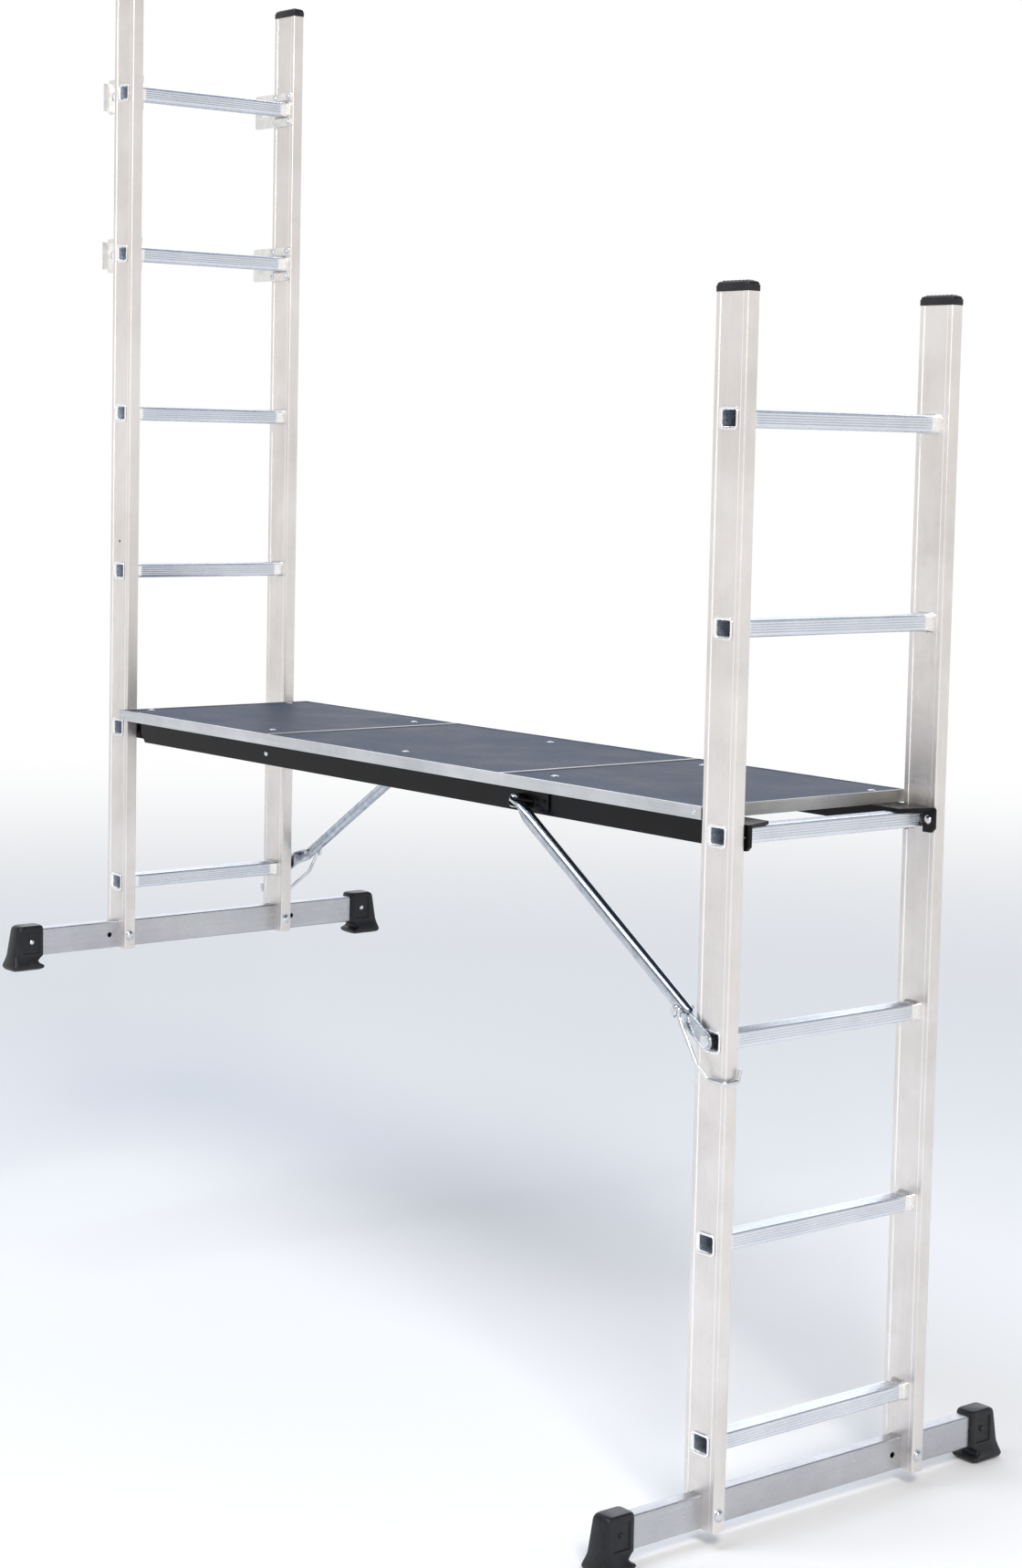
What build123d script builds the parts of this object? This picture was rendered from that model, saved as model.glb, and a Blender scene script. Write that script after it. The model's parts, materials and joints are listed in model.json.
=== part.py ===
# Combination ladder scaffold: two six-rung ladder frames of different widths carry a narrow
# work platform between them. Each frame stands on a stabiliser bar with moulded shoes, and two
# swinging tube braces tie the platform to the frames. Millimetres, +Z up. The lower frame's
# shoes stand on Z = 0; the upper frame stands two rungs higher, as on a staircase.
from build123d import *
from math import atan2, cos, sin, sqrt
import os

os.makedirs("parts", exist_ok=True)

# ---- driving dimensions -------------------------------------------------------------------
rung_pitch = 280
rung_count = 6
span = 1600                 # between the two frames' centre planes
left_x = -776               # the upper, narrow frame
right_x = left_x + span     # the lower, wide frame
wide_width = 416            # over the stiles of the lower frame
narrow_width = 360          # over the stiles of the upper frame, which nests inside the other
rungs_higher = 2            # how many rungs higher the narrow frame stands

stile_length = 1685
stile_depth = 62            # along X
stile_thick = 22            # along Y
stile_wall = 1.8
stile_corner = 2.4
edge_band = 9               # raised band along both edges of a stile's wide face
face_recess = 0.8
drain_radius = 2.5          # drain hole in the narrow frame's stiles
drain_above_rung = 53
foot_height = 24            # stile's foot above the sole of the shoe
first_rung = 118            # first rung's centre above the stile's foot

rung_depth = 30             # along X, over the ribs
rung_height = 25            # along Z, over the ribs
rung_wall = 1.6
rung_corner = 3
rib_height = 0.6
rib_pitch = 4
lip_width = 3.2             # flared end of a rung, outside the stile
lip_thick = 1.8
collar_width = 2.6          # upset collar of a rung, inside the stile
collar_thick = 2.4

bar_thick = 22              # along X
bar_height = 48
bar_x = -4                  # bar's centre from the stile's centre plane
bar_reach = 372             # half length
bar_wall = 2
bar_corner = 3
bar_bolt_radius = 4
bolt_hole_radius = 4.5
bolt_head_radius = 8
bolt_head_height = 5
nut_radius = 7.5
nut_height = 6.5

shoe_start = 333            # inner end of the shoe's sleeve, from the centre
shoe_end = 396
shoe_half_sleeve = 16.5
shoe_half_foot = 24
shoe_height = 79
shoe_panel_depth = 1        # sunk panel on both sides of the sleeve
shoe_rivet_y = shoe_start + 24
shoe_rivet_radius = 2.4
cap_height = 12
cap_crown = 3
cap_plug = 18

deck_thick = 18
deck_half_width = 203
deck_gap = 12               # between the deck's end and the stile's face
deck_end_gap = 7            # the same at the wide frame
panel_joints = (503, 1118)  # joint strips, from the left frame's centre plane
trim_wall = 1.2
trim_lip = 5
strip_width = 9

steel_thick = 5             # platform angles, hooks and cross members
web_face = 183              # outer face of the platform angle's web, from the centre
flange_width = 56
web_height = 36
hook_reach = 37             # hook's nose beyond the rung's centre
rivet_columns = (62, 446, 818, 1186, 1542)
cross_width = 105

hinge_place = 1163          # a brace's hinge, from the centre of the frame that it doesn't reach
hinge_line = 205            # hinge pin's distance from the centre
brace_radius = 10
brace_wall = 1.5
hinge_pin_radius = 4
hook_pin_radius = 6
bail_radius = 3

# ---- derived levels and places --------------------------------------------------------------
rise = rungs_higher * rung_pitch
bar_bottom = foot_height
bar_middle = bar_bottom + bar_height / 2
deck_rung_z = foot_height + first_rung + 3 * rung_pitch
rung_top = deck_rung_z + rung_height / 2
deck_under = rung_top + steel_thick
deck_top = deck_under + deck_thick
web_bottom = deck_under - web_height
deck_left = left_x + stile_depth / 2 + deck_gap
deck_right = right_x - stile_depth / 2 - deck_end_gap
deck_middle = (left_x + right_x) / 2
deck_half_level = (deck_top + deck_under) / 2
panel_top = deck_top - trim_wall
panel_under = deck_under + trim_wall


def finish(build, label):
    """Label a finished piece and write it as its own STEP file."""
    build.part.label = label
    export_step(build.part, f"parts/{label}.step")


def rung_z(frame_base, index):
    """Height of a rung's centre; rungs count from 0 at the foot."""
    return frame_base + foot_height + first_rung + index * rung_pitch


# ---- stiles: hollow box extrusions with a shallow channel down each wide face ------------------
def make_stile(label, x, y, base, width):
    outward = 1 if y > 0 else -1
    foot = base + foot_height
    with BuildPart() as stile:
        with BuildSketch(Plane.XY.offset(foot)):
            with Locations((x, y)):
                RectangleRounded(stile_depth, stile_thick, stile_corner)
            with Locations((x, y + stile_thick / 2), (x, y - stile_thick / 2)):
                Rectangle(stile_depth - 2 * edge_band, 2 * face_recess, mode=Mode.SUBTRACT)
            with Locations((x, y)):
                Rectangle(
                    stile_depth - 2 * stile_wall,
                    stile_thick - 2 * (stile_wall + face_recess),
                    mode=Mode.SUBTRACT,
                )
        extrude(amount=stile_length)
        for index in range(rung_count):
            with BuildSketch(Plane.XZ.offset(-y)):
                with Locations((x, rung_z(base, index))):
                    RectangleRounded(rung_depth, rung_height, rung_corner)
            extrude(amount=stile_thick, both=True, mode=Mode.SUBTRACT)
        # open slot in the foot that straddles the stabiliser bar
        with Locations((x + bar_x, y, foot + bar_height / 2)):
            Box(bar_thick, 2 * stile_thick, bar_height, mode=Mode.SUBTRACT)
        # through hole for the bar's bolt
        with Locations(Plane(origin=(x, y, foot + bar_height / 2), z_dir=(1, 0, 0))):
            Cylinder(bolt_hole_radius, 2 * stile_depth, mode=Mode.SUBTRACT)
        if width == narrow_width:
            # small drain hole above the third rung, through the outer wall
            drain = (x, y + outward * stile_thick / 2, rung_z(base, 2) + drain_above_rung)
            with Locations(Plane(origin=drain, z_dir=(0, 1, 0))):
                Cylinder(drain_radius, stile_thick / 2, mode=Mode.SUBTRACT)
    finish(stile, label)


# ---- rungs: ribbed rectangular tubes, flared outside and upset inside each stile ----------------
def rung_profile():
    RectangleRounded(rung_depth - 2 * rib_height, rung_height - 2 * rib_height, rung_corner)
    for side in (-1, 1):
        for step in range(-2, 3):
            with Locations((side * (rung_depth - rib_height) / 2, step * rib_pitch)):
                Rectangle(rib_height, rib_pitch / 2)
        for step in range(-2, 3):
            with Locations((step * rib_pitch, side * (rung_height - rib_height) / 2)):
                Rectangle(rib_pitch / 2, rib_height)


def make_rung(label, x, z, width):
    lip_face = width / 2 - face_recess
    collar_face = width / 2 - stile_thick + face_recess - collar_thick
    with BuildPart() as rung:
        with BuildSketch(Plane(origin=(x, 0, z), x_dir=(1, 0, 0), z_dir=(0, -1, 0))):
            rung_profile()
        extrude(amount=lip_face + lip_thick, both=True)
        for side in (-1, 1):
            upsets = ((lip_face, lip_thick, lip_width), (collar_face, collar_thick, collar_width))
            for face, thick, grow in upsets:
                start = side * face
                with BuildSketch(Plane(origin=(x, start, z), x_dir=(1, 0, 0), z_dir=(0, side, 0))):
                    RectangleRounded(rung_depth + 2 * grow, rung_height + 2 * grow, rung_corner + 1.5)
                extrude(amount=thick)
        with BuildSketch(Plane(origin=(x, 0, z), x_dir=(1, 0, 0), z_dir=(0, -1, 0))):
            RectangleRounded(
                rung_depth - 2 * (rib_height + rung_wall),
                rung_height - 2 * (rib_height + rung_wall),
                rung_corner - 1,
            )
        extrude(amount=width, both=True, mode=Mode.SUBTRACT)
    finish(rung, label)


# ---- stabiliser bar: rectangular tube with one pair of holes for each width of frame -------------
def make_bar(label, x, base):
    middle = base + bar_middle
    with BuildPart() as bar:
        with BuildSketch(Plane(origin=(x + bar_x, 0, middle), x_dir=(1, 0, 0), z_dir=(0, -1, 0))):
            RectangleRounded(bar_thick, bar_height, bar_corner)
            RectangleRounded(
                bar_thick - 2 * bar_wall,
                bar_height - 2 * bar_wall,
                bar_corner / 2,
                mode=Mode.SUBTRACT,
            )
        extrude(amount=bar_reach, both=True)
        for reach in (narrow_width / 2 - stile_thick / 2, wide_width / 2 - stile_thick / 2):
            for side in (-1, 1):
                with Locations(Plane(origin=(x + bar_x, side * reach, middle), z_dir=(1, 0, 0))):
                    Cylinder(bolt_hole_radius, 2 * bar_thick, mode=Mode.SUBTRACT)
    finish(bar, label)


# ---- shoes: moulded sleeves over the bar's ends, on a flared, hollow foot with a curved sole ------
def make_shoe(label, x, base, side):
    centre = x + bar_x
    middle = base + bar_middle
    half_sleeve = shoe_half_sleeve
    half_foot = shoe_half_foot
    with BuildPart() as shoe:
        with BuildSketch(Plane(origin=(centre, 0, base), x_dir=(0, 1, 0), z_dir=(1, 0, 0))):
            with BuildLine():
                outline = Polyline(
                    (side * shoe_start, 22),
                    (side * shoe_start, shoe_height - 3),
                    (side * (shoe_start + 4), shoe_height),
                    (side * (shoe_start + 46), shoe_height),
                    (side * (shoe_start + 50), 75),
                    (side * (shoe_end - 1), 22),
                    (side * shoe_end, 8),
                    (side * (shoe_end - 5), 0),
                    (side * (shoe_start + 7), 0),
                    (side * (shoe_start + 0.5), 5),
                    (side * (shoe_start + 7), 12),
                )
                Spline(outline @ 1, (side * (shoe_start + 7), 18), outline @ 0)
            make_face()
        extrude(amount=half_foot, both=True)
        with BuildSketch(Plane(origin=(centre, 0, base), x_dir=(1, 0, 0), z_dir=(0, -1, 0))):
            with BuildLine():
                flank = Polyline(
                    (-half_foot, 7),
                    (-half_foot + 1, 12),
                    (-half_sleeve - 0.5, 27),
                    (-half_sleeve, shoe_height - 3),
                    (-half_sleeve + 3, shoe_height + 1),
                    (half_sleeve - 3, shoe_height + 1),
                    (half_sleeve, shoe_height - 3),
                    (half_sleeve + 0.5, 27),
                    (half_foot - 1, 12),
                    (half_foot, 7),
                )
                sole = Line((-half_foot + 10, 0), (half_foot - 10, 0))
                ThreePointArc(flank @ 0, (-half_foot + 3.5, 2), sole @ 0)
                ThreePointArc(sole @ 1, (half_foot - 3.5, 2), flank @ 1)
            make_face()
        extrude(amount=2 * shoe_end, both=True, mode=Mode.INTERSECT)
        # socket for the bar
        with BuildSketch(Plane(origin=(centre, 0, middle), x_dir=(1, 0, 0), z_dir=(0, side, 0))):
            RectangleRounded(bar_thick, bar_height, bar_corner)
        extrude(amount=bar_reach, mode=Mode.SUBTRACT)
        # hollow under the foot, with a rib across it
        for start, length in ((shoe_start + 12, 17), (shoe_start + 33, 20)):
            with Locations((centre, side * (start + length / 2), base + 8)):
                Box(2 * half_sleeve - 6, length, 16.01, mode=Mode.SUBTRACT)
        # sunk panel on both sides of the sleeve
        for face in (-1, 1):
            with Locations((centre + face * half_sleeve, side * (shoe_start + 25), base + 49)):
                Box(2 * shoe_panel_depth, 34, 42, mode=Mode.SUBTRACT)
        # rivet hole
        with Locations(Plane(origin=(centre, side * shoe_rivet_y, base + 50), z_dir=(1, 0, 0))):
            Cylinder(shoe_rivet_radius + 0.2, 4 * half_foot, mode=Mode.SUBTRACT)
    finish(shoe, label)


# ---- caps: plugs with a crowned head, pressed into the stiles' tops -----------------------------
def make_cap(label, x, y, base):
    top = base + foot_height + stile_length
    with BuildPart() as cap:
        with BuildSketch(Plane.XY.offset(top)):
            with Locations((x, y)):
                RectangleRounded(stile_depth, stile_thick, stile_corner)
        extrude(amount=cap_height)
        with BuildSketch(Plane.XY.offset(top + cap_height)):
            with Locations((x, y)):
                RectangleRounded(stile_depth, stile_thick, stile_corner)
        extrude(amount=cap_crown, taper=50)
        with BuildSketch(Plane.XY.offset(top)):
            with Locations((x, y)):
                Rectangle(
                    stile_depth - 2 * stile_wall,
                    stile_thick - 2 * (stile_wall + face_recess),
                )
        extrude(amount=-cap_plug)
    finish(cap, label)


# ---- bar fasteners: one long bolt with a domed head and a nut through each stile and bar, and a
# ---- rivet through each shoe
def dome_pin(origin, direction, length, radius, head_radius, head_height):
    """A round pin with a domed head; origin is under the head, the shank runs along direction."""
    with Locations(Plane(origin=origin, z_dir=direction)):
        Cylinder(radius, length, align=(Align.CENTER, Align.CENTER, Align.MIN))
        Cone(
            head_radius * 0.55,
            head_radius,
            head_height,
            align=(Align.CENTER, Align.CENTER, Align.MAX),
        )


def make_bar_fasteners(label, x, base, width):
    middle = base + bar_middle
    bolt_y = width / 2 - stile_thick / 2
    half = stile_depth / 2
    with BuildPart() as fasteners:
        for side in (-1, 1):
            dome_pin(
                (x + half, side * bolt_y, middle),
                (-1, 0, 0),
                stile_depth + nut_height + 3.5,
                bar_bolt_radius,
                bolt_head_radius,
                bolt_head_height,
            )
            with BuildSketch(Plane(origin=(x - half, side * bolt_y, middle), z_dir=(-1, 0, 0))):
                RegularPolygon(nut_radius, 6)
                Circle(bar_bolt_radius + 0.1, mode=Mode.SUBTRACT)
            extrude(amount=nut_height)
            for face in (-1, 1):
                panel_face = x + bar_x + face * (shoe_half_sleeve - shoe_panel_depth)
                start = (panel_face, side * shoe_rivet_y, middle + 2)
                dome_pin(start, (-face, 0, 0), 4.4, shoe_rivet_radius, 4.2, 1.4)
    finish(fasteners, label)


# ---- guide brackets: plates on the narrow frame's stiles with an ear that runs past the stile ------
guide_reach = 86.5
guide_front = 27
guide_thick = 3
guide_half_height = 30
guide_lip = 11
guide_slot_x = -56
guide_bolt_radius = 2.4
guide_bolts = [(along, up) for along in (-24, 19) for up in (-23, 23)]


def make_guide(label, x, z, side):
    inner = side * (narrow_width / 2 - stile_thick)
    with BuildPart() as guide:
        with BuildSketch(Plane(origin=(x, inner, z), x_dir=(1, 0, 0), z_dir=(0, -side, 0))):
            with Locations(((guide_front - guide_reach) / 2, 0)):
                RectangleRounded(guide_front + guide_reach, 2 * guide_half_height, 5)
            # clears the rung's collar, and opens towards the plate's front end
            with Locations((guide_front / 2 - 4, 0)):
                Rectangle(guide_front + 36, rung_height + 2 * collar_width + 3, mode=Mode.SUBTRACT)
            # slot in the ear
            with Locations((guide_slot_x, 0)):
                SlotOverall(40, 16, mode=Mode.SUBTRACT)
            with Locations(*guide_bolts):
                Circle(guide_bolt_radius, mode=Mode.SUBTRACT)
        extrude(amount=guide_thick)
        # lip turned outwards at the ear's end
        with Locations((x - guide_reach + guide_thick / 2, inner + side * guide_lip / 2, z)):
            Box(guide_thick, guide_lip, 2 * guide_half_height - 12)
    finish(guide, label)


def make_guide_bolts(label, x, levels):
    with BuildPart() as bolts:
        for z in levels:
            for side in (-1, 1):
                face = side * (narrow_width / 2 - stile_thick - guide_thick)
                for along, up in guide_bolts:
                    start = (x + along, face, z + up)
                    dome_pin(start, (0, side, 0), guide_thick, guide_bolt_radius, 4.5, 3)
    finish(bolts, label)


# ---- the two ladder frames ----------------------------------------------------------------------
frames = (("lower", right_x, 0, wide_width), ("upper", left_x, rise, narrow_width))
sides = (("near", -1), ("far", 1))
for name, x, base, width in frames:
    stile_y = width / 2 - stile_thick / 2
    for place, side in sides:
        make_stile(f"{name}_stile_{place}", x, side * stile_y, base, width)
        make_cap(f"{name}_cap_{place}", x, side * stile_y, base)
        make_shoe(f"{name}_shoe_{place}", x, base, side)
    for index in range(rung_count):
        make_rung(f"{name}_rung_{index + 1}", x, rung_z(base, index), width)
    make_bar(f"{name}_bar", x, base)
    make_bar_fasteners(f"{name}_bar_fasteners", x, base, width)
for number in (5, 6):
    for place, side in sides:
        make_guide(f"guide_{number}_{place}", left_x, rung_z(rise, number - 1), side)
make_guide_bolts("guide_bolts", left_x, [rung_z(rise, 4), rung_z(rise, 5)])


# ---- platform: plywood panels held in aluminium edge channels, with a strip at each joint --------
rivet_row = 148
rivet_radius = 2.4
joints = [left_x + place for place in panel_joints]
panel_ends = [deck_left + trim_wall] + joints + [deck_right - trim_wall]
columns = [left_x + place for place in rivet_columns]
for index in range(3):
    start = panel_ends[index] + (trim_wall / 2 if index > 0 else 0)
    stop = panel_ends[index + 1] - (trim_wall / 2 if index < 2 else 0)
    with BuildPart() as panel:
        with BuildSketch(Plane.XY.offset(panel_under)):
            with Locations(((start + stop) / 2, 0)):
                Rectangle(stop - start, 2 * (deck_half_width - trim_wall))
            own_columns = [c for c in columns if start < c < stop]
            with Locations([(c, side * rivet_row) for c in own_columns for side in (-1, 1)]):
                Circle(rivet_radius, mode=Mode.SUBTRACT)
        extrude(amount=panel_top - panel_under)
    finish(panel, f"deck_panel_{index + 1}")

for index, x in enumerate(joints):
    with BuildPart() as strip:
        with BuildSketch(Plane.XZ):
            with Locations((x, deck_half_level)):
                Rectangle(trim_wall, deck_thick)
            for level in (deck_top - trim_wall / 2, deck_under + trim_wall / 2):
                with Locations((x, level)):
                    Rectangle(strip_width, trim_wall)
        extrude(amount=deck_half_width - trim_lip, both=True)
    finish(strip, f"joint_strip_{index + 1}")

# side channels run the full length, end channels fit between their lips
trim_rivets = (54, 801, 1546)
for place, side in sides:
    with BuildPart() as trim:
        with BuildSketch(Plane.YZ.offset(deck_left)):
            with Locations((side * (deck_half_width - trim_wall / 2), deck_half_level)):
                Rectangle(trim_wall, deck_thick)
            for level in (deck_top - trim_wall / 2, deck_under + trim_wall / 2):
                with Locations((side * (deck_half_width - trim_lip / 2), level)):
                    Rectangle(trim_lip, trim_wall)
        extrude(amount=deck_right - deck_left)
    finish(trim, f"deck_trim_{place}")
for place, x, inward in (("left", deck_left, 1), ("right", deck_right, -1)):
    with BuildPart() as trim:
        with BuildSketch(Plane.XZ):
            with Locations((x + inward * trim_wall / 2, deck_half_level)):
                Rectangle(trim_wall, deck_thick - 2 * trim_wall)
            for level in (deck_top - trim_wall / 2, deck_under + trim_wall / 2):
                with Locations((x + inward * trim_lip / 2, level)):
                    Rectangle(trim_lip, trim_wall)
        extrude(amount=deck_half_width - trim_lip, both=True)
    finish(trim, f"deck_trim_{place}")


# ---- under-frame: two steel angles whose webs hook over the lower frame's rung -------------------
rung_clear = rung_depth / 2 + 0.5
nose_x = right_x + hook_reach
web_start = left_x + 85
web_bolt_z = deck_rung_z
lock_bolt_x = 26
bracket_thick = 3
near_bolts = [left_x + place for place in (480, 1189, 1208)]
far_bolts = [2 * deck_middle - x for x in near_bolts]
web_bolts = {"near": near_bolts, "far": far_bolts}
bracket_bolts = {"near": near_bolts[1:], "far": far_bolts[1:]}
for place, side in sides:
    with BuildPart() as angle:
        with BuildSketch(Plane.XZ.offset(-side * web_face)):
            with BuildLine():
                Polyline(
                    (web_start, deck_under),
                    (nose_x - 3, deck_under),
                    (nose_x, deck_under - 3),
                    (nose_x, web_bottom + 6),
                    (nose_x - 6, web_bottom),
                    (right_x + rung_clear, web_bottom),
                    (right_x + rung_clear, rung_top),
                    (right_x - rung_clear, rung_top),
                    (right_x - rung_clear, web_bottom),
                    (web_start + 13, web_bottom),
                    (web_start, web_bottom + 16),
                    close=True,
                )
            make_face()
        extrude(amount=side * steel_thick)
        with BuildSketch(Plane.XY.offset(deck_under)):
            with BuildLine():
                Polyline(
                    (deck_left, side * (web_face - steel_thick)),
                    (deck_left, side * (web_face - flange_width)),
                    (right_x + rung_clear, side * (web_face - flange_width)),
                    (nose_x - 3, side * (web_face - steel_thick)),
                    close=True,
                )
            make_face()
        extrude(amount=-steel_thick)
        with Locations([(x, side * rivet_row, deck_under) for x in columns]):
            Cylinder(rivet_radius, 3 * steel_thick, mode=Mode.SUBTRACT)
        bolt_stations = [right_x + lock_bolt_x] + web_bolts[place]
        for x in bolt_stations:
            with Locations(Plane(origin=(x, side * web_face, web_bolt_z), z_dir=(0, 1, 0))):
                Cylinder(rivet_radius, 3 * steel_thick, mode=Mode.SUBTRACT)
    finish(angle, f"platform_angle_{place}")


# cross members join the two webs under the flanges; their ends are turned down and bolted
cross_start = left_x + 385
cross_thick = 3
cross_drop = 24
for index, x in enumerate((cross_start, 2 * deck_middle - cross_start - cross_width)):
    with BuildPart() as cross:
        with BuildSketch(Plane.YZ.offset(x)):
            with Locations((0, rung_top - cross_thick / 2)):
                Rectangle(2 * (web_face - steel_thick), cross_thick)
            for side in (-1, 1):
                end_y = side * (web_face - steel_thick - cross_thick / 2)
                with Locations((end_y, rung_top - cross_drop / 2)):
                    Rectangle(cross_thick, cross_drop)
        extrude(amount=cross_width)
        with Locations([(c, side * rivet_row, rung_top) for c in columns for side in (-1, 1)]):
            Cylinder(rivet_radius, 12, mode=Mode.SUBTRACT)
        for place, side in sides:
            for bolt_x in web_bolts[place]:
                with Locations(Plane(origin=(bolt_x, side * web_face, web_bolt_z), z_dir=(0, 1, 0))):
                    Cylinder(rivet_radius, 30, mode=Mode.SUBTRACT)
    finish(cross, f"cross_member_{index + 1}")

# hooks over the upper frame's rung, inside its stiles, welded under the angles' flanges
hook_face = 147
hook_thick = 6
for place, side in sides:
    with BuildPart() as hook:
        with BuildSketch(Plane.XZ.offset(-side * hook_face)):
            with BuildLine():
                Polyline(
                    (left_x - hook_reach + 6, web_bottom),
                    (left_x - hook_reach, web_bottom + 6),
                    (left_x - hook_reach, deck_under - 3),
                    (left_x - hook_reach + 3, deck_under),
                    (deck_left - 1, deck_under),
                    (deck_left - 1, rung_top),
                    (deck_left + 60, rung_top),
                    (deck_left + 60, rung_top - 12),
                    (deck_left + 20, web_bottom),
                    (left_x + rung_clear, web_bottom),
                    (left_x + rung_clear, rung_top),
                    (left_x - rung_clear, rung_top),
                    (left_x - rung_clear, web_bottom),
                    close=True,
                )
            make_face()
        extrude(amount=-side * hook_thick)
        lock_bolt = (left_x - lock_bolt_x, side * hook_face, web_bolt_z)
        with Locations(Plane(origin=lock_bolt, z_dir=(0, 1, 0))):
            Cylinder(rivet_radius, 30, mode=Mode.SUBTRACT)
    finish(hook, f"platform_hook_{place}")

# ---- platform fasteners ---------------------------------------------------------------------------
with BuildPart() as deck_rivets:
    for x in columns:
        for side in (-1, 1):
            start = (x, side * rivet_row, panel_top)
            dome_pin(start, (0, 0, -1), panel_top - rung_top, rivet_radius, 6, 1.6)
    for place in trim_rivets:
        for side in (-1, 1):
            origin = (left_x + place, side * deck_half_width, deck_half_level)
            with Locations(Plane(origin=origin, z_dir=(0, side, 0))):
                Cone(4, 2.2, 1.4, align=(Align.CENTER, Align.CENTER, Align.MIN))
finish(deck_rivets, "deck_rivets")

with BuildPart() as frame_fasteners:
    for place, side in sides:
        for x in web_bolts[place]:
            cover = bracket_thick if x in bracket_bolts[place] else 0
            start = (x, side * (web_face + cover), web_bolt_z)
            dome_pin(start, (0, -side, 0), steel_thick + cover + 3, rivet_radius, 4.5, 2.5)
        dome_pin(
            (right_x + lock_bolt_x, side * (web_face - steel_thick), web_bolt_z),
            (0, side, 0), steel_thick, rivet_radius, 6, 3.5,
        )
        dome_pin(
            (left_x - lock_bolt_x, side * (hook_face), web_bolt_z),
            (0, side, 0), hook_thick, rivet_radius, 6, 3.5,
        )
finish(frame_fasteners, "frame_fasteners")


# ---- braces: steel tubes that swing out from the platform like gates. Each hangs on a pin that
# ---- leans so that half a turn brings the brace up from the rung to lie along the platform.
hook_x = right_x - 4
hinge_x = left_x + hinge_place
brace_run = hook_x - hinge_x
brace_length = sqrt(brace_run ** 2 + rung_pitch ** 2)
slope = atan2(rung_pitch, brace_run)
lean = slope / 2
along = Vector(cos(slope), 0, -sin(slope))        # down the brace
level = Vector(cos(lean), 0, -sin(lean))          # across the hinge pin
pin_up = Vector(sin(lean), 0, cos(lean))          # along the hinge pin
hinge = Vector(hinge_x, -hinge_line, deck_rung_z)
half_turn = Axis((deck_middle, 0, 0), (0, 0, 1))
eye_thick = 6
ear_gap = 3.6
ear_thick = 3
neck_start = 20
tube_start = 46
tube_stop = brace_length - 58
flat_start = brace_length - 52
plate_thick = 5
plate_half_width = 12
bail_pin_at = brace_length - 62
bail_line = 222.3
bail_joggle = 5.5           # bail's line from the stile's face, below its joggle
bail_drop = 51              # bail's lower end below the rung's centre
bail_gap = 2                # between the bail's end and the stile's edge


def write_brace_piece(build, piece, second):
    """The far brace is the near one turned half a turn about the platform's middle."""
    if second:
        with BuildPart() as turned:
            add(build.part.rotate(half_turn, 180))
        finish(turned, f"far_{piece}")
    else:
        finish(build, f"near_{piece}")


def flat_plane_at(origin, facing=1):
    """Plane across Y through a point, its normal towards +Y or -Y."""
    return Plane(origin=origin, x_dir=(1, 0, 0), z_dir=(0, facing, 0))


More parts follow.
